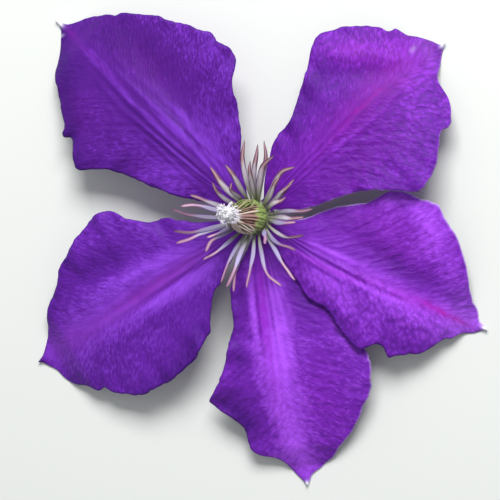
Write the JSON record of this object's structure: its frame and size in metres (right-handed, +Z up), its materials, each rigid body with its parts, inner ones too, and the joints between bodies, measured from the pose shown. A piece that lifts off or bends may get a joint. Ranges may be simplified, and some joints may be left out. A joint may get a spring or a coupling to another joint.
{
  "type": "clematis flower",
  "caption": "Large-flowered purple clematis blossom lying face up, with broad waved sepals, ribbon stamens and a pale tuft of stigmas on a short cut stub.",
  "frame": {"origin": "middle of the flower's plan, on the surface that it lies on", "axes": "+Z up, out of the open face of the flower; +Y towards the top of the picture; +X towards its right"},
  "size_m": [0.113, 0.115, 0.0236],
  "materials": {
    "purple_sepal": "soft satin petal with fine crinkles and raised veins",
    "green_stalk": "smooth young green stalk",
    "pale_stamen": "satin pale lavender filament with pink brown anther",
    "green_pistil": "soft green carpels with brownish pink styles",
    "white_stigma": "matt white papillae"
  },
  "bodies": {
    "root": {"sepal_top_left": "purple_sepal", "sepal_top_right": "purple_sepal", "sepal_right": "purple_sepal", "sepal_bottom": "purple_sepal", "sepal_bottom_left": "purple_sepal", "receptacle_stalk": "green_stalk", "stamens": "pale_stamen", "pistils": "green_pistil", "stigmas": "white_stigma"}
  },
  "joints": []
}
